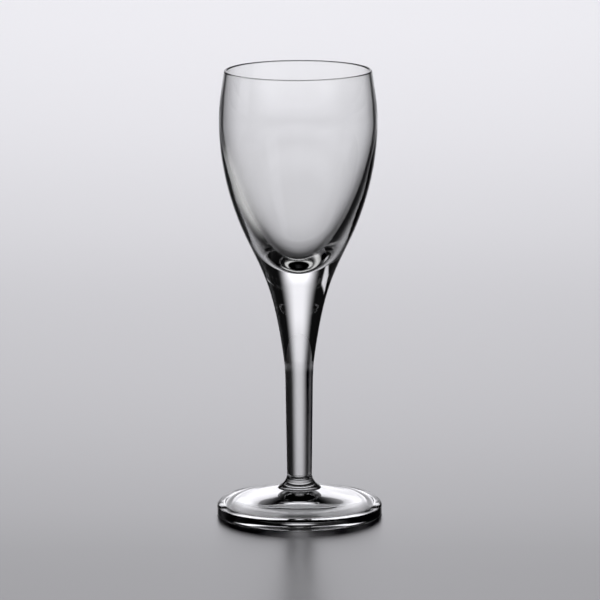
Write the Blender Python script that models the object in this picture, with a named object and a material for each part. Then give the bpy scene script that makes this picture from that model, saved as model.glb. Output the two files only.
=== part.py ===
"""Liqueur glass: a blown tulip bowl, a drawn stem and a pressed foot, fused end to end.

Lengths are in metres and +Z is up. The glass stands on z = 0 with its axis on Z.
"""

from math import acos, cos, pi, radians, sin, tan, tau

import bmesh
import bpy
from mathutils import Vector
from mathutils.geometry import interpolate_bezier

# Foot: a pressed disc with a rounded edge, a conical top, a pad that flares into the stem and a hollow below
FOOT_DIAMETER = 0.0500
FOOT_EDGE_WIDEST = 0.0022
FOOT_EDGE_ROUND_WIDTH = 0.0018
FOOT_EDGE_ROUND_HEIGHT = 0.0042
FOOT_EDGE_FULLNESS = 0.2
FOOT_EDGE_BOTTOM_ROUND = 0.0005
FOOT_CONE_TOP = 0.00795
PAD_ROUND = 0.0022
PAD_SWEEP = radians(31)
FLARE_RADIUS = 0.00415
FLARE_SWEEP = radians(57.4)
BEARING_RING_WIDTH = 0.0024
HOLLOW_RISE = 0.0030
HOLLOW_POWER = 4.5

# Stem: a solid rod that widens a little towards the bowl, with a collar that leads into the neck
STEM_LENGTH = 0.03468
STEM_FOOT_DIAMETER = 0.00755
STEM_TOP_DIAMETER = 0.00834
COLLAR_LENGTH = 0.0065
COLLAR_PULL_DOWN = 0.0007
COLLAR_PULL_UP = 0.0030

# Bowl: heights from one named level to the next, outer diameters and how far each curve is pulled along
NECK_DIAMETER = 0.00904
NECK_LEAN = radians(7.5)
NECK_PULL = 0.0205
THROAT_ABOVE_NECK = 0.0357
THROAT_DIAMETER = 0.0294
THROAT_LEAN = radians(26)
THROAT_PULL_DOWN = 0.0108
THROAT_PULL_UP = 0.0048
BELLY_ABOVE_THROAT = 0.0376
BELLY_DIAMETER = 0.0476
BELLY_PULL_DOWN = 0.0191
BELLY_PULL_UP = 0.0044
MOUTH_ABOVE_BELLY = 0.0154
MOUTH_DIAMETER = 0.0444
MOUTH_LEAN = radians(8.3)
MOUTH_PULL = 0.0079

# Inside of the bowl: walls at the lip and the belly, and the rounded floor over the solid throat
LIP_WALL = 0.00095
BELLY_WALL = 0.0012
CUP_FLOOR_BELOW_THROAT = 0.0085
CUP_FLOOR_PULL = 0.0111
CUP_SIDE_PULL = 0.0185

# The fused joints are left open by this much, so that each piece stays a solid of its own
WELD_GAP = 0.0003

# Fineness of the turned surfaces
SIDES = 48
BOWL_STEPS = 14
MOUTH_STEPS = 6
ROUND_STEPS = 4
MERGE_DISTANCE = 0.000001
SHARP_ANGLE = radians(35)

# Clear glass
GLASS_COLOR = (0.95, 0.96, 0.97, 1.0)
GLASS_ROUGHNESS = 0.02
GLASS_IOR = 1.52


def at(radius, height):
    """A point of an outline: its distance from the axis and its height."""
    return Vector((radius, 0.0, height))


def lean(angle):
    """The upward direction that leans away from the axis by an angle."""
    return at(sin(angle), cos(angle))


def curve(start, start_pull, end, end_pull, steps):
    """A smooth stretch of outline between two points, without its first point."""
    return interpolate_bezier(start, start + start_pull, end + end_pull, end, steps + 1)[1:]


def arc(centre, radius, first_angle, last_angle, steps):
    """Points on a circle, with angles counted from the outward direction towards +Z."""
    angles = [first_angle + (last_angle - first_angle) * step / steps for step in range(steps + 1)]
    return [centre + radius * at(cos(angle), sin(angle)) for angle in angles]


def rounded(before, corner, after, radius):
    """The arc that rounds a corner of an outline, touching both of its sides."""
    towards_before = (before - corner).normalized()
    towards_after = (after - corner).normalized()
    half_angle = acos(towards_before.dot(towards_after)) / 2
    centre = corner + (towards_before + towards_after).normalized() * radius / sin(half_angle)
    first = corner + towards_before * radius / tan(half_angle) - centre
    last = corner + towards_after * radius / tan(half_angle) - centre
    return [centre + radius * first.slerp(last, step / ROUND_STEPS) for step in range(ROUND_STEPS + 1)]


def clear_glass(name):
    """Clear, polished glass."""
    material = bpy.data.materials.new(name)
    material.use_nodes = True
    shader = material.node_tree.nodes["Principled BSDF"]
    shader.inputs["Base Color"].default_value = GLASS_COLOR
    shader.inputs["Metallic"].default_value = 0.0
    shader.inputs["Roughness"].default_value = GLASS_ROUGHNESS
    shader.inputs["IOR"].default_value = GLASS_IOR
    shader.inputs["Transmission Weight"].default_value = 1.0
    return material


def turned(name, outline, height, parent):
    """Spins an outline, which starts and ends on the axis, into one closed piece of glass."""
    shape = bmesh.new()
    points = [shape.verts.new(point) for point in outline]
    edges = [shape.edges.new(pair) for pair in zip(points, points[1:])]
    bmesh.ops.spin(shape, geom=points + edges, axis=(0, 0, 1), cent=(0, 0, 0), angle=tau, steps=SIDES)
    bmesh.ops.remove_doubles(shape, verts=shape.verts, dist=MERGE_DISTANCE)
    bmesh.ops.recalc_face_normals(shape, faces=shape.faces)
    mesh = bpy.data.meshes.new(name)
    shape.to_mesh(mesh)
    shape.free()
    mesh.shade_smooth()
    mesh.set_sharp_from_angle(angle=SHARP_ANGLE)
    mesh.materials.append(clear_glass(name + "_glass"))
    piece = bpy.data.objects.new(name, mesh)
    piece.location.z = height
    piece.parent = parent
    bpy.context.scene.collection.objects.link(piece)
    return piece


def foot_height():
    """Height of the foot, where the stem is fused on."""
    pad_rise = PAD_ROUND * (sin(FLARE_SWEEP) - sin(FLARE_SWEEP - PAD_SWEEP))
    return FOOT_CONE_TOP + pad_rise + FLARE_RADIUS * sin(FLARE_SWEEP)


def foot_outline():
    """Down the flare, the pad and the cone, round the edge, and back to the axis under the hollow."""
    radius = FOOT_DIAMETER / 2
    flare_centre = at(STEM_FOOT_DIAMETER / 2 + FLARE_RADIUS, foot_height())
    flare = arc(flare_centre, FLARE_RADIUS, pi, pi + FLARE_SWEEP, 2 * ROUND_STEPS)
    pad_centre = flare[-1] - PAD_ROUND * at(cos(FLARE_SWEEP), sin(FLARE_SWEEP))
    pad = arc(pad_centre, PAD_ROUND, FLARE_SWEEP, FLARE_SWEEP - PAD_SWEEP, ROUND_STEPS)
    cone_foot = at(radius - FOOT_EDGE_ROUND_WIDTH, FOOT_EDGE_ROUND_HEIGHT)
    along_cone = (cone_foot - pad[-1]) / (cone_foot.x - pad[-1].x)
    edge_corner = cone_foot + FOOT_EDGE_ROUND_WIDTH * along_cone
    widest = at(radius, FOOT_EDGE_WIDEST)
    cone_pull = FOOT_EDGE_FULLNESS * (edge_corner - cone_foot)
    widest_pull = FOOT_EDGE_FULLNESS * (edge_corner - widest)
    edge = curve(cone_foot, cone_pull, widest, widest_pull, 2 * ROUND_STEPS)
    hollow_radius = radius - FOOT_EDGE_BOTTOM_ROUND - BEARING_RING_WIDTH
    lower_round = rounded(widest, at(radius, 0), at(hollow_radius, 0), FOOT_EDGE_BOTTOM_ROUND)
    shares = [1 - step / (2 * ROUND_STEPS) for step in range(2 * ROUND_STEPS + 1)]
    hollow = [at(hollow_radius * share, HOLLOW_RISE * (1 - share**HOLLOW_POWER)) for share in shares]
    return [at(0, foot_height())] + flare + pad[1:] + [cone_foot] + edge + lower_round + hollow


def stem_outline():
    """Down the collar and the rod to the end that sits on the foot."""
    length = STEM_LENGTH - 2 * WELD_GAP
    rod_foot = at(STEM_FOOT_DIAMETER / 2, 0)
    rod_top = at(STEM_TOP_DIAMETER / 2, length - COLLAR_LENGTH)
    collar_top = at(NECK_DIAMETER / 2, length)
    along_rod = (rod_top - rod_foot).normalized()
    neck_pull = -COLLAR_PULL_DOWN * lean(NECK_LEAN)
    collar = curve(collar_top, neck_pull, rod_top, COLLAR_PULL_UP * along_rod, 2 * ROUND_STEPS)
    return [at(0, length), collar_top] + collar + [rod_foot, at(0, 0)]


def bowl_outline():
    """Up the inside from the cup's floor, over the lip, and down the outside to the neck."""
    belly_height = THROAT_ABOVE_NECK + BELLY_ABOVE_THROAT
    lip_radius = LIP_WALL / 2
    lip_centre = at(MOUTH_DIAMETER / 2 - lip_radius, belly_height + MOUTH_ABOVE_BELLY - lip_radius)
    floor = at(0, THROAT_ABOVE_NECK - CUP_FLOOR_BELOW_THROAT)
    belly_inside = at(BELLY_DIAMETER / 2 - BELLY_WALL, belly_height)
    belly = at(BELLY_DIAMETER / 2, belly_height)
    throat = at(THROAT_DIAMETER / 2, THROAT_ABOVE_NECK)
    neck = at(NECK_DIAMETER / 2, 0)
    up = lean(0)
    lip = arc(lip_centre, lip_radius, pi, 0, 2 * ROUND_STEPS)
    mouth_pull = -MOUTH_PULL * lean(-MOUTH_LEAN)
    throat_lean = lean(THROAT_LEAN)
    outline = [floor]
    outline += curve(floor, at(CUP_FLOOR_PULL, 0), belly_inside, -CUP_SIDE_PULL * up, BOWL_STEPS)
    outline += curve(belly_inside, BELLY_PULL_UP * up, lip[0], mouth_pull, MOUTH_STEPS)
    outline += lip[1:]
    outline += curve(lip[-1], mouth_pull, belly, BELLY_PULL_UP * up, MOUTH_STEPS)
    outline += curve(belly, -BELLY_PULL_DOWN * up, throat, THROAT_PULL_UP * throat_lean, BOWL_STEPS)
    outline += curve(throat, -THROAT_PULL_DOWN * throat_lean, neck, NECK_PULL * lean(NECK_LEAN), BOWL_STEPS)
    return outline + [at(0, 0)]


def build():
    """The three pieces, one above the other on the axis of the glass."""
    for old in list(bpy.data.objects):
        bpy.data.objects.remove(old, do_unlink=True)
    glass = bpy.data.objects.new("liqueur_glass", None)
    bpy.context.scene.collection.objects.link(glass)
    turned("foot", foot_outline(), 0.0, glass)
    turned("stem", stem_outline(), foot_height() + WELD_GAP, glass)
    turned("bowl", bowl_outline(), foot_height() + STEM_LENGTH, glass)


build()
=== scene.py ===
# %% [markdown]
# # A small liqueur glass
# The object is a stem glass made of three gathers of clear glass that are melted together: a blown
# tulip bowl, a drawn stem and a pressed foot. Clear glass has no colour of its own, so its looks come
# from three things: a smooth and exact surface, walls of the right thickness, and a studio that gives
# the glass something bright and something dark to bend. This lesson makes them in that order.
# Lengths are in metres, +Z is up, and the glass stands on z = 0 with its axis on Z.

# %% Load the frame
from math import acos, cos, pi, radians, sin, tan

import bmesh
import bpy
from mathutils import Matrix, Vector
from mathutils.geometry import interpolate_bezier


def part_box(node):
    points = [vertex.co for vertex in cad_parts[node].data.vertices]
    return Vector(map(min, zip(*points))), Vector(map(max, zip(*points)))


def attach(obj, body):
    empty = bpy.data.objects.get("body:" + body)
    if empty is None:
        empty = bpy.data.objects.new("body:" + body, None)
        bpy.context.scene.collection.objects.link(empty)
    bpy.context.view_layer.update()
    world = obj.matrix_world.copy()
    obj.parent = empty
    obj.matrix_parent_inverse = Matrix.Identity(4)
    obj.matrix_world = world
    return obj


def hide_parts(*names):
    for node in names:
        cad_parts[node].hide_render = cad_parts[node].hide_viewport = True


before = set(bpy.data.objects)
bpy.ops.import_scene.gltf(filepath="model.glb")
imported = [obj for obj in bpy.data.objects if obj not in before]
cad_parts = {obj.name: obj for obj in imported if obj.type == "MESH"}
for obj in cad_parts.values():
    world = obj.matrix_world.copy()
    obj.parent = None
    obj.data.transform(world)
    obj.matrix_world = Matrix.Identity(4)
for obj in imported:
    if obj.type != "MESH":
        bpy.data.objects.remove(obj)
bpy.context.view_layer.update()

FOOT_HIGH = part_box("foot")[1]
BOWL_LOW, BOWL_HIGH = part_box("bowl")
print("frame:", sorted(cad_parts), "height", round(BOWL_HIGH.z, 4), "m")

# %% [markdown]
# ## The camera
# The photograph was taken from far away with a long lens, a little above the mouth and looking down.
# A camera could be placed by eye, but then the mouth and the foot would never both fit. These numbers were
# solved from their ellipses: how flat they look gives the tilt, and how the upper one differs from the lower
# one gives the distance. A long lens keeps the sides of the glass almost parallel.

# %% Set up the camera
CAMERA_DISTANCE = 1.382
CAMERA_HEIGHT = 0.3274
CAMERA_ASIDE = 0.00035
CAMERA_TILT = radians(10.72)
CAMERA_ROLL = radians(-0.21)
CAMERA_REACH = 20.0
LENS_MM = 280.0


def photograph_camera():
    """A long lens at the photograph's viewing angle."""
    data = bpy.data.cameras.new("camera")
    data.lens = LENS_MM
    data.clip_end = CAMERA_REACH
    camera = bpy.data.objects.new("camera", data)
    place = Matrix.Translation((CAMERA_ASIDE, -CAMERA_DISTANCE, CAMERA_HEIGHT))
    turn = Matrix.Rotation(pi / 2 - CAMERA_TILT, 4, "X") @ Matrix.Rotation(CAMERA_ROLL, 4, "Z")
    camera.matrix_world = place @ turn
    bpy.context.scene.collection.objects.link(camera)
    return camera


bpy.context.scene.camera = photograph_camera()
print("camera:", LENS_MM, "mm lens,", CAMERA_DISTANCE, "m away")

# %% [markdown]
# ## Outlines of the turned pieces
# Every piece of the glass is round, so half of its section is enough to describe it. Such an outline could
# be traced point by point, but a few arcs, and curves with handles, bend more evenly, and glass shows every
# uneven spot. Heights and outer widths come from the frame, and the handles give the sweep between them.

# %% Helpers for outlines
ROUND_STEPS = 10
LONG_ROUND_STEPS = 20


def at(radius, height):
    """A point of an outline: its distance from the axis and its height."""
    return Vector((radius, 0.0, height))


def lean(angle):
    """The upward direction that leans away from the axis by an angle."""
    return at(sin(angle), cos(angle))


def curve(start, start_pull, end, end_pull, steps):
    """A smooth stretch of outline between two points, without its first point."""
    return interpolate_bezier(start, start + start_pull, end + end_pull, end, steps + 1)[1:]


def arc(centre, radius, first_angle, last_angle, steps):
    """Points on a circle, with angles counted from the outward direction towards +Z."""
    angles = [first_angle + (last_angle - first_angle) * step / steps for step in range(steps + 1)]
    return [centre + radius * at(cos(angle), sin(angle)) for angle in angles]


def rounded(before, corner, after, radius):
    """The arc that rounds a corner of an outline, touching both of its sides."""
    towards_before = (before - corner).normalized()
    towards_after = (after - corner).normalized()
    half_angle = acos(towards_before.dot(towards_after)) / 2
    centre = corner + (towards_before + towards_after).normalized() * radius / sin(half_angle)
    first = corner + towards_before * radius / tan(half_angle) - centre
    last = corner + towards_after * radius / tan(half_angle) - centre
    return [centre + radius * first.slerp(last, step / ROUND_STEPS) for step in range(ROUND_STEPS + 1)]


print("outline helpers: a corner is rounded in", ROUND_STEPS, "steps and a longer arc in", LONG_ROUND_STEPS)

# %% [markdown]
# ## The foot
# The foot is a pressed disc: a low cone with a rounded edge, a small pad that flares into the stem, and a
# hollow below, so that only a ring touches the table. It could be made from a cylinder with bevels. An
# outline is chosen because the edge and the hollow work as lenses, and here each of their radii can be set
# by itself. The hollow rises in a short step inside the ring and then as a dome. The step draws the second
# line round the edge of the foot, and the dome draws the dark lens under the stem.

# %% Outline of the hollow under the foot
FOOT_EDGE_BOTTOM_ROUND = 0.0005
BEARING_RING_WIDTH = 0.0024
HOLLOW_RADIUS = FOOT_HIGH.x - FOOT_EDGE_BOTTOM_ROUND - BEARING_RING_WIDTH
HOLLOW_STEP = 0.0010
HOLLOW_STEP_POWER = 14
HOLLOW_RISE = 0.0030
HOLLOW_POWER = 1.38
HOLLOW_STEPS = 40


def hollow_outline():
    """From the bearing ring up the step and the dome to the axis."""
    points = []
    for step in range(HOLLOW_STEPS + 1):
        share = 1 - step / HOLLOW_STEPS
        dome = HOLLOW_RISE * (1 - share**HOLLOW_POWER)
        wall = HOLLOW_STEP * (1 - share**HOLLOW_STEP_POWER)
        points.append(at(HOLLOW_RADIUS * share, dome + wall))
    return points


print("hollow:", round(HOLLOW_RADIUS, 4), "m in radius and", round(hollow_outline()[-1].z, 4), "m deep")

# %% Outline of the foot
FOOT_EDGE_WIDEST = 0.0026
FOOT_EDGE_ROUND_WIDTH = 0.0014
FOOT_EDGE_ROUND_HEIGHT = 0.0040
FOOT_EDGE_FULLNESS = 0.4
HOLLOW_EDGE_ROUND = 0.0010
PAD_ROUND = 0.0022
PAD_SWEEP = radians(31)
PAD_CREASE_ROUND = 0.0003
FLARE_RADIUS = 0.00415
FLARE_SWEEP = radians(57.4)
STEM_FOOT_RADIUS = 0.003775


def foot_outline():
    """Down the flare, the pad and the cone, round the edge, and back to the axis under the hollow."""
    radius = FOOT_HIGH.x
    flare_centre = at(STEM_FOOT_RADIUS + FLARE_RADIUS, FOOT_HIGH.z)
    flare = arc(flare_centre, FLARE_RADIUS, pi, pi + FLARE_SWEEP, LONG_ROUND_STEPS)
    pad_centre = flare[-1] - PAD_ROUND * at(cos(FLARE_SWEEP), sin(FLARE_SWEEP))
    pad = arc(pad_centre, PAD_ROUND, FLARE_SWEEP, FLARE_SWEEP - PAD_SWEEP, ROUND_STEPS)
    cone_foot = at(radius - FOOT_EDGE_ROUND_WIDTH, FOOT_EDGE_ROUND_HEIGHT)
    crease = rounded(pad[-2], pad[-1], cone_foot, PAD_CREASE_ROUND)
    along_cone = (cone_foot - pad[-1]) / (cone_foot.x - pad[-1].x)
    edge_corner = cone_foot + FOOT_EDGE_ROUND_WIDTH * along_cone
    widest = at(radius, FOOT_EDGE_WIDEST)
    cone_pull = FOOT_EDGE_FULLNESS * (edge_corner - cone_foot)
    widest_pull = FOOT_EDGE_FULLNESS * (edge_corner - widest)
    edge = curve(cone_foot, cone_pull, widest, widest_pull, LONG_ROUND_STEPS)
    lower_corner = at(radius, 0)
    lower_round = rounded(widest, lower_corner, at(HOLLOW_RADIUS, 0), FOOT_EDGE_BOTTOM_ROUND)
    hollow = hollow_outline()
    hollow_edge = rounded(lower_corner, hollow[0], hollow[1], HOLLOW_EDGE_ROUND)
    upper_side = [at(0, FOOT_HIGH.z)] + flare + pad[1:-1] + crease + [cone_foot] + edge
    # The rounded edge stands in for the first two points of the hollow
    return upper_side + lower_round + hollow_edge + hollow[2:]


print("foot outline:", len(foot_outline()), "points")

# %% [markdown]
# ## The stem
# The stem is a solid rod, drawn out of hot glass, so it widens a little towards the bowl and ends in a soft
# collar. A cylinder would do for the rod, but it would meet the bowl with a kink, and clear glass shows a
# kink as a ring. A curve with one handle along the rod and one along the neck joins the two without it.

# %% Outline of the stem
STEM_TOP_RADIUS = 0.00417
COLLAR_LENGTH = 0.0065
COLLAR_PULL_DOWN = 0.0007
COLLAR_PULL_UP = 0.0030
COLLAR_STEPS = 30
ROD_STEPS = 10
NECK_RADIUS = 0.00452
NECK_LEAN = radians(7.5)


def stem_outline():
    """Down the collar and the rod to the end that sits on the foot."""
    rod_foot = at(STEM_FOOT_RADIUS, FOOT_HIGH.z)
    rod_top = at(STEM_TOP_RADIUS, BOWL_LOW.z - COLLAR_LENGTH)
    collar_top = at(NECK_RADIUS, BOWL_LOW.z)
    along_rod = (rod_top - rod_foot).normalized()
    neck_pull = -COLLAR_PULL_DOWN * lean(NECK_LEAN)
    outline = [at(0, BOWL_LOW.z), collar_top]
    outline += curve(collar_top, neck_pull, rod_top, COLLAR_PULL_UP * along_rod, COLLAR_STEPS)
    outline += [rod_top.lerp(rod_foot, step / ROD_STEPS) for step in range(1, ROD_STEPS + 1)]
    return outline + [at(0, FOOT_HIGH.z)]


print("stem outline:", len(stem_outline()), "points")

# %% [markdown]
# ## The bowl
# The bowl is blown, and its outside and its inside follow different sweeps: the wall is thin at the mouth and
# grows into a solid funnel under the cup. It could be a thin surface with a Solidify modifier, but that gives
# the same wall everywhere. Here the outline runs up the inside, over the lip and down the outside, so that
# the glass between the two is as thick as in the real bowl and bends light as it does there.

# %% Outline of the bowl
NECK_PULL = 0.0205
THROAT_ABOVE_NECK = 0.0357
THROAT_RADIUS = 0.0147
THROAT_LEAN = radians(26)
THROAT_PULL_DOWN = 0.0108
THROAT_PULL_UP = 0.0048
BELLY_ABOVE_THROAT = 0.0376
BELLY_PULL_DOWN = 0.0191
BELLY_PULL_UP = 0.0044
MOUTH_RADIUS = 0.0222
MOUTH_LEAN = radians(8.3)
MOUTH_PULL = 0.0079
LIP_WALL = 0.00095
BELLY_WALL = 0.0012
CUP_FLOOR_BELOW_THROAT = 0.0066
CUP_FLOOR_PULL = 0.0086
CUP_SIDE_PULL = 0.0198
BOWL_STEPS = 48
MOUTH_STEPS = 16


def bowl_outline():
    """Up the inside from the cup's floor, over the lip, and down the outside to the neck."""
    throat_height = BOWL_LOW.z + THROAT_ABOVE_NECK
    belly_height = throat_height + BELLY_ABOVE_THROAT
    lip_radius = LIP_WALL / 2
    lip_centre = at(MOUTH_RADIUS - lip_radius, BOWL_HIGH.z - lip_radius)
    floor = at(0, throat_height - CUP_FLOOR_BELOW_THROAT)
    belly = at(BOWL_HIGH.x, belly_height)
    belly_inside = at(BOWL_HIGH.x - BELLY_WALL, belly_height)
    throat = at(THROAT_RADIUS, throat_height)
    neck = at(NECK_RADIUS, BOWL_LOW.z)
    up = lean(0)
    lip = arc(lip_centre, lip_radius, pi, 0, LONG_ROUND_STEPS)
    mouth_pull = -MOUTH_PULL * lean(-MOUTH_LEAN)
    throat_lean = lean(THROAT_LEAN)
    outline = [floor]
    outline += curve(floor, at(CUP_FLOOR_PULL, 0), belly_inside, -CUP_SIDE_PULL * up, BOWL_STEPS)
    outline += curve(belly_inside, BELLY_PULL_UP * up, lip[0], mouth_pull, MOUTH_STEPS)
    outline += lip[1:]
    outline += curve(lip[-1], mouth_pull, belly, BELLY_PULL_UP * up, MOUTH_STEPS)
    outline += curve(belly, -BELLY_PULL_DOWN * up, throat, THROAT_PULL_UP * throat_lean, BOWL_STEPS)
    outline += curve(throat, -THROAT_PULL_DOWN * throat_lean, neck, NECK_PULL * lean(NECK_LEAN), BOWL_STEPS)
    return outline + [at(0, BOWL_LOW.z)]


print("bowl outline:", len(bowl_outline()), "points")

# %% [markdown]
# ## Nodes from a script
# The glass, the lathe, the floor and the light of this lesson are all node trees. They could be drawn by hand
# in Blender's editors, but a script keeps each value in sight and gives the same tree every time. Three
# helpers are enough: one feeds the inputs of a node, one adds a node, and one adds a sum.

# %% Helpers for nodes
def feed(tree, node, inputs):
    """Sets inputs of a node to plain values, or links them to the outputs of other nodes."""
    for name, source in inputs.items():
        if isinstance(source, bpy.types.NodeSocket):
            tree.links.new(source, node.inputs[name])
        else:
            node.inputs[name].default_value = source


def new_node(tree, kind, inputs=None, **settings):
    """A new node with its settings made and its inputs fed."""
    made = tree.nodes.new(kind)
    for name, value in settings.items():
        setattr(made, name, value)
    feed(tree, made, inputs or {})
    return made


def maths(tree, operation, *values):
    """The result of one sum of plain values and the outputs of other nodes."""
    made = new_node(tree, "ShaderNodeMath", dict(enumerate(values)), operation=operation)
    return made.outputs["Value"]


print("node helpers:", feed.__name__, new_node.__name__, maths.__name__)

# %% [markdown]
# ## Clear glass
# The glass is clear and fire polished. A Glass BSDF could bend the light, but a Principled BSDF with full
# transmission does it too and can be exported. Blown and drawn glass is never as even as a mirror, so a node
# group adds what its making leaves behind: faint waves in the surface and a tint that comes and goes.
# Roughness stays at nothing, because polished glass shows sharp lines. Where two pieces are melted together
# there is nothing to see, so the faces that meet there have a material without any opacity.

# %% Make the glass materials
GLASS_IOR = 1.52
GLASS_CLEAREST = (1.0, 1.0, 1.0, 1.0)
GLASS_TINTED = (0.992, 0.997, 0.995, 1.0)
WAVES_PER_METRE = 70.0
WAVE_DETAIL = 1.0
WAVE_HEIGHT = 0.00005


def new_material(name):
    """A material with the nodes that Blender starts it with."""
    material = bpy.data.materials.new(name)
    material.use_nodes = True
    return material


def drawn_glass_group():
    """The faint waves and the faint tint that glass keeps from its making."""
    group = bpy.data.node_groups.new("drawn_glass", "ShaderNodeTree")
    group.interface.new_socket("Tint", in_out="OUTPUT", socket_type="NodeSocketColor")
    group.interface.new_socket("Normal", in_out="OUTPUT", socket_type="NodeSocketVector")
    place = new_node(group, "ShaderNodeTexCoord").outputs["Object"]
    pattern = {"Vector": place, "Scale": WAVES_PER_METRE, "Detail": WAVE_DETAIL}
    noise = new_node(group, "ShaderNodeTexNoise", pattern).outputs["Fac"]
    tint = new_node(group, "ShaderNodeValToRGB", {"Fac": noise})
    tint.color_ramp.elements[0].color = GLASS_CLEAREST
    tint.color_ramp.elements[1].color = GLASS_TINTED
    waves = new_node(group, "ShaderNodeBump", {"Height": noise, "Distance": WAVE_HEIGHT})
    new_node(group, "NodeGroupOutput", {"Tint": tint.outputs["Color"], "Normal": waves.outputs["Normal"]})
    return group


def clear_glass():
    """Clear, fire-polished glass."""
    material = new_material("clear_glass")
    tree = material.node_tree
    drawn = new_node(tree, "ShaderNodeGroup", node_tree=drawn_glass_group()).outputs
    finish = {
        "Base Color": drawn["Tint"],
        "Normal": drawn["Normal"],
        "Roughness": 0.0,
        "IOR": GLASS_IOR,
        "Transmission Weight": 1.0,
    }
    feed(tree, tree.nodes["Principled BSDF"], finish)
    return material


def melted_joint():
    """The face where two pieces are melted together, which can't be seen in the real glass."""
    material = new_material("melted_joint")
    feed(material.node_tree, material.node_tree.nodes["Principled BSDF"], {"Alpha": 0.0})
    return material


GLASS = clear_glass()
JOINT = melted_joint()
print("materials:", GLASS.name, "with an index of refraction of", GLASS_IOR, "and", JOINT.name)

# %% [markdown]
# ## The lathe
# A lathe turns an outline about an axis. Blender's Spin tool or Screw modifier could do it. A Geometry Nodes
# tree is chosen because one tree with named inputs serves all three pieces and can mark the joint faces too.
# It starts from a flat grid with a row for each point of the outline and a column for each step of the turn.
# Every grid point then moves to its outline point, turned by the angle of its column.

# %% Turn a grid about the axis
JOINT_MARK = "joint"


def joint_mark(tree):
    """The mark that points in a melted joint carry."""
    mark = new_node(tree, "GeometryNodeInputNamedAttribute", {"Name": JOINT_MARK}, data_type="BOOLEAN")
    return mark.outputs["Attribute"]


def outline_value(tree, outline, kind, value, row):
    """A value of the outline's points, read at the point that belongs to a row of the grid."""
    inputs = {"Geometry": outline, "Value": value, "Index": row}
    sample = new_node(tree, "GeometryNodeSampleIndex", inputs, data_type=kind, domain="POINT")
    return sample.outputs["Value"]


def turned_grid(tree, outline, sides):
    """A grid with a row for each point of the outline and a column for each side, turned about the axis."""
    rows = new_node(tree, "GeometryNodeAttributeDomainSize", {"Geometry": outline}).outputs["Point Count"]
    last_row = maths(tree, "SUBTRACT", rows, 1)
    columns = maths(tree, "ADD", sides, 1)
    spread = {"Size X": last_row, "Size Y": 1.0, "Vertices X": rows, "Vertices Y": columns}
    grid = new_node(tree, "GeometryNodeMeshGrid", spread).outputs["Mesh"]
    position = new_node(tree, "GeometryNodeInputPosition").outputs["Position"]
    place = new_node(tree, "ShaderNodeSeparateXYZ", {"Vector": position}).outputs
    row = maths(tree, "ROUND", maths(tree, "ADD", place["X"], maths(tree, "MULTIPLY", last_row, 0.5)))
    angle = maths(tree, "MULTIPLY", maths(tree, "ADD", place["Y"], 0.5), 2 * pi)
    in_joint = outline_value(tree, outline, "BOOLEAN", joint_mark(tree), row)
    mark = {"Geometry": grid, "Name": JOINT_MARK, "Value": in_joint}
    marked = new_node(tree, "GeometryNodeStoreNamedAttribute", mark, data_type="BOOLEAN", domain="POINT")
    point = outline_value(tree, outline, "FLOAT_VECTOR", position, row)
    turn = new_node(tree, "ShaderNodeVectorRotate", {"Vector": point, "Angle": angle}, rotation_type="Z_AXIS")
    move = {"Geometry": marked.outputs["Geometry"], "Position": turn.outputs["Vector"]}
    return new_node(tree, "GeometryNodeSetPosition", move).outputs["Geometry"]


print("lathe grid: points in a melted joint carry the mark", JOINT_MARK)

# %% Build the lathe
MERGE_DISTANCE = 0.0000002
SHARP_ANGLE = radians(50)


def closed_and_smooth(tree, shape):
    """The shape with its seam closed and its surface smooth, except where it bends sharply."""
    closed = new_node(tree, "GeometryNodeMergeByDistance", {"Geometry": shape, "Distance": MERGE_DISTANCE})
    smooth = new_node(tree, "GeometryNodeSetShadeSmooth", {"Geometry": closed.outputs["Geometry"]})
    bend = new_node(tree, "GeometryNodeInputMeshEdgeAngle").outputs["Unsigned Angle"]
    sharp = maths(tree, "GREATER_THAN", bend, SHARP_ANGLE)
    edges = {"Geometry": smooth.outputs["Geometry"], "Selection": sharp, "Shade Smooth": False}
    return new_node(tree, "GeometryNodeSetShadeSmooth", edges, domain="EDGE").outputs["Geometry"]


def lathe_tree():
    """Geometry Nodes that turn an outline mesh into a closed piece of glass."""
    tree = bpy.data.node_groups.new("lathe", "GeometryNodeTree")
    kinds = {"Outline": "Geometry", "Sides": "Int", "Glass": "Material", "Joint": "Material"}
    for name, kind in kinds.items():
        tree.interface.new_socket(name, in_out="INPUT", socket_type="NodeSocket" + kind)
    tree.interface.new_socket("Piece", in_out="OUTPUT", socket_type="NodeSocketGeometry")
    given = new_node(tree, "NodeGroupInput").outputs
    shape = closed_and_smooth(tree, turned_grid(tree, given["Outline"], given["Sides"]))
    real = new_node(tree, "GeometryNodeRealizeInstances", {"Geometry": shape}).outputs["Geometry"]
    all_faces = {"Geometry": real, "Material": given["Glass"]}
    glass = new_node(tree, "GeometryNodeSetMaterial", all_faces).outputs["Geometry"]
    joint_faces = {"Geometry": glass, "Selection": joint_mark(tree), "Material": given["Joint"]}
    piece = new_node(tree, "GeometryNodeSetMaterial", joint_faces).outputs["Geometry"]
    new_node(tree, "NodeGroupOutput", {"Piece": piece})
    return tree


LATHE = lathe_tree()
LATHE_INPUTS = {item.name: item.identifier for item in LATHE.interface.items_tree if item.in_out == "INPUT"}
print("lathe:", len(LATHE.nodes), "nodes, inputs", sorted(LATHE_INPUTS))

# %% [markdown]
# ## The three pieces
# Each outline becomes a mesh of edges, with a mark on the ends that lie in a melted joint, and the lathe
# turns it. The pieces could be joined into one mesh, but the real glass is made of three gathers, and as
# separate closed pieces each can be measured and checked. A Weighted Normal modifier lets the large faces
# rule the shading, so that reflections run evenly past the small roundings.

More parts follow.
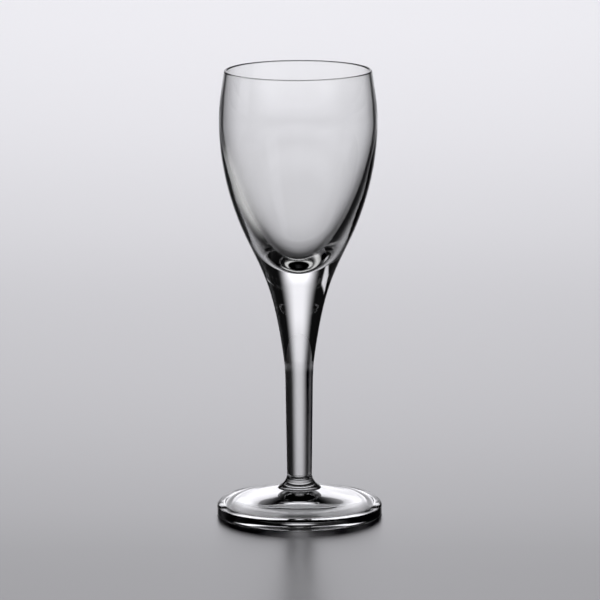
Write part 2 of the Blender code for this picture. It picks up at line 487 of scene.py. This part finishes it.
# %% Make meshes of the outlines
def outline_mesh(name, outline, joint_heights):
    """The outline as a mesh of edges, with its flat ends at a melted joint marked."""
    mesh = bpy.data.meshes.new(name + "_outline")
    last = len(outline) - 1
    mesh.from_pydata(outline, [(i, i + 1) for i in range(last)], [])
    marks = mesh.attributes.new(JOINT_MARK, "BOOLEAN", "POINT")
    for end, beside in ((0, 1), (last, last - 1)):
        height = outline[end].z
        flat = abs(height - outline[beside].z) < MERGE_DISTANCE
        if flat and any(abs(height - joint) < MERGE_DISTANCE for joint in joint_heights):
            marks.data[end].value = True
            marks.data[beside].value = True
    return mesh


OUTLINES = {
    "foot": outline_mesh("foot", foot_outline(), [FOOT_HIGH.z]),
    "stem": outline_mesh("stem", stem_outline(), [FOOT_HIGH.z, BOWL_LOW.z]),
    "bowl": outline_mesh("bowl", bowl_outline(), [BOWL_LOW.z]),
}
print("outline meshes:", {name: len(mesh.edges) for name, mesh in OUTLINES.items()}, "edges")

# %% Turn the three pieces
SIDES = 192
MILLILITRES = 1e6


def lathed(name, outline):
    """The plain mesh that the lathe makes of an outline mesh."""
    lathe = bpy.data.objects.new(name + "_lathe", outline)
    bpy.context.scene.collection.objects.link(lathe)
    modifier = lathe.modifiers.new("lathe", "NODES")
    modifier.node_group = LATHE
    for socket, value in (("Sides", SIDES), ("Glass", GLASS), ("Joint", JOINT)):
        modifier[LATHE_INPUTS[socket]] = value
    weighted = lathe.modifiers.new("weighted", "WEIGHTED_NORMAL")
    weighted.keep_sharp = True
    depsgraph = bpy.context.evaluated_depsgraph_get()
    mesh = bpy.data.meshes.new_from_object(lathe.evaluated_get(depsgraph))
    bpy.data.objects.remove(lathe)
    mesh.name = name + "_glass"
    return mesh


def measured(name, mesh):
    """Prints how many faces a piece has, whether it is closed and how much glass it holds."""
    shape = bmesh.new()
    shape.from_mesh(mesh)
    open_edges = sum(1 for edge in shape.edges if len(edge.link_faces) != 2)
    volume = shape.calc_volume(signed=True) * MILLILITRES
    shape.free()
    print(f"{name}: {len(mesh.polygons)} faces, {open_edges} open edges, {volume:.2f} ml of glass")


def turned(name, outline):
    """One closed piece of glass from its outline mesh, in place of the CAD node of that name."""
    mesh = lathed(name, outline)
    measured(name, mesh)
    piece = bpy.data.objects.new(name + "_glass", mesh)
    bpy.context.scene.collection.objects.link(piece)
    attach(piece, "root")
    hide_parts(name)
    return piece


for piece_name, piece_outline in OUTLINES.items():
    turned(piece_name, piece_outline)

# %% [markdown]
# ## The floor
# The glass stands on a satin table top. Seen at a flat angle it mirrors the bright panel behind the glass, so
# it looks pale. It grows lighter towards the back because its share of mirrored light is painted larger with
# the distance behind the glass, a painted falloff of the light towards the front. A plain grey floor could be
# lit by lamps, but they would show in the glass as well. A rough mirror is chosen, in which the glass is
# mirrored softly too. Seen from above, such a mirror would show a dark ceiling, so a pale colour of its own
# comes in at steep angles, with a painted soft shadow where the glass touches down. The glass shows that
# colour only where the floor lies to the left or in front, because dark floor behind it and to its right
# draws its edges.

# %% A value that follows a curve
def follow(tree, value, points):
    """A value that follows another one along a smooth curve through some points."""
    low = points[0][0]
    high = points[-1][0]
    span = new_node(tree, "ShaderNodeMapRange", {"Value": value, "From Min": low, "From Max": high})
    made = new_node(tree, "ShaderNodeFloatCurve", {"Value": span.outputs["Result"]})
    curve_points = made.mapping.curves[0].points
    curve_points[0].location = (0.0, points[0][1])
    curve_points[1].location = (1.0, points[-1][1])
    for place, share in points[1:-1]:
        curve_points.new((place - low) / (high - low), share)
    made.mapping.update()
    return made.outputs["Value"]


print("curve helper:", follow.__name__)

# %% Make the finish of the floor
FLOOR_ROUGHNESS = 0.31
FLOOR_PAINTED_SHADOW_REACH = 0.03
# Share of the light that is mirrored, by the distance behind the glass, painted larger towards the back as a
# painted falloff of the light towards the front
FLOOR_MIRROR_PAINTED_BY_DEPTH = [
    (-0.7, 0.28), (-0.3, 0.33), (-0.1, 0.375), (0.01, 0.465), (0.16, 0.57), (0.35, 0.655),
    (0.57, 0.768), (0.95, 0.885), (1.3, 0.928), (2.2, 0.955), (6.0, 0.98),
]
# How pale the floor is by itself, by the angle of view in degrees
FLOOR_PALE_BY_ANGLE = [(0, 0.0), (15, 0.0), (17, 0.06), (20, 0.3), (24, 0.48), (35, 0.6), (90, 0.65)]
# How much of that the glass shows, by the place on the floor along X and along Y
FLOOR_PALE_ON_LEFT = [(-0.12, 1.0), (-0.1, 1.0), (-0.05, 0.0), (-0.03, 0.0)]
FLOOR_PALE_IN_FRONT = [(-0.08, 1.0), (-0.06, 1.0), (-0.02, 0.0), (0.0, 0.0)]


def satin_finish():
    """A rough mirror at a flat angle, plain and pale from above."""
    material = new_material("satin_floor")
    tree = material.node_tree
    tree.nodes.remove(tree.nodes["Principled BSDF"])
    position = new_node(tree, "ShaderNodeTexCoord").outputs["Object"]
    place = new_node(tree, "ShaderNodeSeparateXYZ", {"Vector": position}).outputs
    # Painted light: the mirror share grows with the distance behind the glass, so the floor is painted
    # lighter behind it and darker in front
    mirrored = follow(tree, place["Y"], FLOOR_MIRROR_PAINTED_BY_DEPTH)
    gloss = new_node(tree, "ShaderNodeBsdfAnisotropic", {"Color": mirrored, "Roughness": FLOOR_ROUGHNESS})
    facing = new_node(tree, "ShaderNodeLayerWeight").outputs["Facing"]
    pale_by_facing = [(1 - sin(radians(angle)), share) for angle, share in reversed(FLOOR_PALE_BY_ANGLE)]
    own_colour = follow(tree, facing, pale_by_facing)
    # Painted shadow: ambient occlusion darkens the floor's own pale colour where the glass stands close
    touch = {"Color": own_colour, "Distance": FLOOR_PAINTED_SHADOW_REACH}
    painted_shadow = new_node(tree, "ShaderNodeAmbientOcclusion", touch)
    on_left = follow(tree, place["X"], FLOOR_PALE_ON_LEFT)
    in_front = follow(tree, place["Y"], FLOOR_PALE_IN_FRONT)
    path = new_node(tree, "ShaderNodeLightPath").outputs
    aside = maths(tree, "MAXIMUM", on_left, in_front)
    through_glass = maths(tree, "MULTIPLY", path["Is Transmission Ray"], aside)
    shown = maths(tree, "MAXIMUM", path["Is Camera Ray"], through_glass)
    pale = new_node(tree, "ShaderNodeEmission", {"Color": painted_shadow.outputs["Color"], "Strength": shown})
    both = new_node(tree, "ShaderNodeAddShader", {0: gloss.outputs["BSDF"], 1: pale.outputs["Emission"]})
    feed(tree, tree.nodes["Material Output"], {"Surface": both.outputs["Shader"]})
    return material


SATIN = satin_finish()
print("finish:", SATIN.name, "with a roughness of", FLOOR_ROUGHNESS)

# %% Lay the floor
FLOOR_HALF_SIZE = 6.0
FLOOR_IN_FRONT = 0.7
FLOOR_BELOW = 0.0001


def satin_floor():
    """A wide table top, just under the foot of the glass."""
    half = FLOOR_HALF_SIZE
    front = -FLOOR_IN_FRONT
    corners = [(-half, front), (half, front), (half, half), (-half, half)]
    mesh = bpy.data.meshes.new("floor")
    mesh.from_pydata([(x, y, -FLOOR_BELOW) for x, y in corners], [], [(0, 1, 2, 3)])
    mesh.materials.append(SATIN)
    floor = bpy.data.objects.new("floor", mesh)
    bpy.context.scene.collection.objects.link(floor)
    return floor


FLOOR = satin_floor()
print("floor:", FLOOR.name, 2 * FLOOR_HALF_SIZE, "m wide and", FLOOR_HALF_SIZE + FLOOR_IN_FRONT, "m deep")

# %% [markdown]
# ## Soft panels
# Glass is photographed between large panels of soft light. They could be area lamps, but lamps have hard
# edges, and the glass would show them as hard bright shapes. Here a panel is a part of the sky: a node group
# that gives full light inside a range of directions and fades to nothing at its edges.

# %% A soft panel of light
HALF_TURN = 180.0
PANEL_VALUES = ("Centre", "Inner", "Outer", "Foot", "Low", "High", "Top", "Level")


def soft_panel_group():
    """Brightness of one soft panel in a direction: full inside, fading to nothing at its outer edges."""
    group = bpy.data.node_groups.new("soft_panel", "ShaderNodeTree")
    for name in ("Azimuth", "Elevation") + PANEL_VALUES:
        group.interface.new_socket(name, in_out="INPUT", socket_type="NodeSocketFloat")
    group.interface.new_socket("Light", in_out="OUTPUT", socket_type="NodeSocketFloat")
    given = new_node(group, "NodeGroupInput").outputs

    def fade(value, start, end):
        span = {"Value": value, "From Min": given[start], "From Max": given[end]}
        return new_node(group, "ShaderNodeMapRange", span, interpolation_type="SMOOTHSTEP").outputs["Result"]

    from_centre = maths(group, "SUBTRACT", given["Azimuth"], given["Centre"])
    aside = maths(group, "ABSOLUTE", maths(group, "WRAP", from_centre, HALF_TURN, -HALF_TURN))
    sideways = maths(group, "SUBTRACT", 1.0, fade(aside, "Inner", "Outer"))
    upwards = fade(given["Elevation"], "Foot", "Low")
    downwards = maths(group, "SUBTRACT", 1.0, fade(given["Elevation"], "High", "Top"))
    inside = maths(group, "MULTIPLY", maths(group, "MULTIPLY", sideways, upwards), downwards)
    new_node(group, "NodeGroupOutput", {"Light": maths(group, "MULTIPLY", inside, given["Level"])})
    return group


SOFT_PANEL = soft_panel_group()
print("soft panel:", len(SOFT_PANEL.nodes), "nodes")

# %% [markdown]
# ## The studio
# Clear glass stands in front of one bright panel, with dark gaps beside it: the middle of the glass lets the
# panel through, and its edges bend the dark gaps into view and draw the outline. A picture of a real studio
# could light it, but then no panel could be moved by itself. So the world is a handful of named panels, and
# the smaller ones give the light streaks along the bowl and the stem. The satin floor mirrors two more panels
# and a pale wall on every side but the back, so that the table stays pale when the glass is seen from behind.

# %% Place the panels
# Each panel has the azimuth of its centre, from the back towards the right, its inner and outer half width,
# then the foot, low, high and top edge of its height, all in degrees, and its level
PANELS = {
    "backdrop": (0.0, 4.0, 27.0, -12.0, 3.0, 26.0, 36.0, 0.98),
    "backdrop_top": (0.0, 4.0, 24.0, 12.0, 20.0, 27.0, 36.0, 0.65),
    "front_low": (180.0, 40.0, 80.0, -1.0, 4.5, 5.5, 13.0, 1.05),
    "front_right": (135.0, 8.0, 14.0, 6.0, 10.0, 20.0, 24.0, 0.8),
    "left": (-90.0, 8.0, 14.0, -3.0, 0.0, 7.0, 10.0, 0.5),
    "upper_left": (-45.0, 7.0, 12.0, 17.0, 20.0, 30.0, 33.0, 0.8),
}
# Only the satin floor mirrors these. The wall shows where the floor is seen directly, and the panels show
# where it is seen through the glass too
FLOOR_WALL = (180.0, 120.0, 150.0, -90.0, -80.0, 12.0, 32.0, 1.5)
FLOOR_PANELS = {
    "front_right": (135.0, 15.0, 30.0, 2.0, 8.0, 22.0, 32.0, 1.2),
    "left": (-90.0, 8.0, 15.0, -5.0, 0.0, 8.0, 13.0, 0.55),
}
print("panels:", sorted(PANELS), "and for the floor", sorted(FLOOR_PANELS))

# %% Light the studio with the world
FIRST_BOUNCE_DEPTH = 2.5
DARK_LEVEL = 0.004
PALE_LEVEL = 0.8
LIGHT_TINT = (0.99, 0.982, 1.03, 1.0)


def studio_world():
    """Soft panels round the glass, with dark gaps between them."""
    world = bpy.data.worlds.new("studio")
    bpy.context.scene.world = world
    world.use_nodes = True
    tree = world.node_tree
    towards = new_node(tree, "ShaderNodeTexCoord").outputs["Generated"]
    x, y, z = new_node(tree, "ShaderNodeSeparateXYZ", {"Vector": towards}).outputs
    azimuth = maths(tree, "DEGREES", maths(tree, "ARCTAN2", x, y))
    elevation = maths(tree, "DEGREES", maths(tree, "ARCSINE", z))

    def panel(values):
        inputs = {"Azimuth": azimuth, "Elevation": elevation}
        inputs.update(zip(PANEL_VALUES, values))
        return new_node(tree, "ShaderNodeGroup", inputs, node_tree=SOFT_PANEL).outputs["Light"]

    level = DARK_LEVEL
    for values in PANELS.values():
        level = maths(tree, "ADD", level, panel(values))
    path = new_node(tree, "ShaderNodeLightPath").outputs
    first_bounce = maths(tree, "LESS_THAN", path["Ray Depth"], FIRST_BOUNCE_DEPTH)
    mirrored = maths(tree, "MULTIPLY", first_bounce, panel(FLOOR_WALL))
    for values in FLOOR_PANELS.values():
        mirrored = maths(tree, "MAXIMUM", mirrored, panel(values))
    # A rough mirror throws glossy rays that aren't singular, and polished glass throws singular ones
    from_satin = maths(tree, "SUBTRACT", path["Is Glossy Ray"], path["Is Singular Ray"])
    level = maths(tree, "MAXIMUM", level, maths(tree, "MULTIPLY", from_satin, mirrored))
    shown = new_node(tree, "ShaderNodeMix", {"Factor": path["Is Camera Ray"], "A": level, "B": PALE_LEVEL})
    feed(tree, tree.nodes["Background"], {"Color": LIGHT_TINT, "Strength": shown.outputs["Result"]})
    return world


WORLD = studio_world()
print("world:", WORLD.name, "with", len(WORLD.node_tree.nodes), "nodes")

# %% [markdown]
# ## View and bounces
# The Standard view shows colours as they are written, which suits a plain studio picture. A ray crosses many
# walls of glass before it comes out, and with too few bounces the foot would turn black, so there are plenty.

# %% Set the view and the bounces
GLASS_BOUNCES = 24
scene = bpy.context.scene
scene.view_settings.view_transform = "Standard"
scene.cycles.max_bounces = GLASS_BOUNCES
scene.cycles.transmission_bounces = GLASS_BOUNCES
scene.cycles.transparent_max_bounces = GLASS_BOUNCES
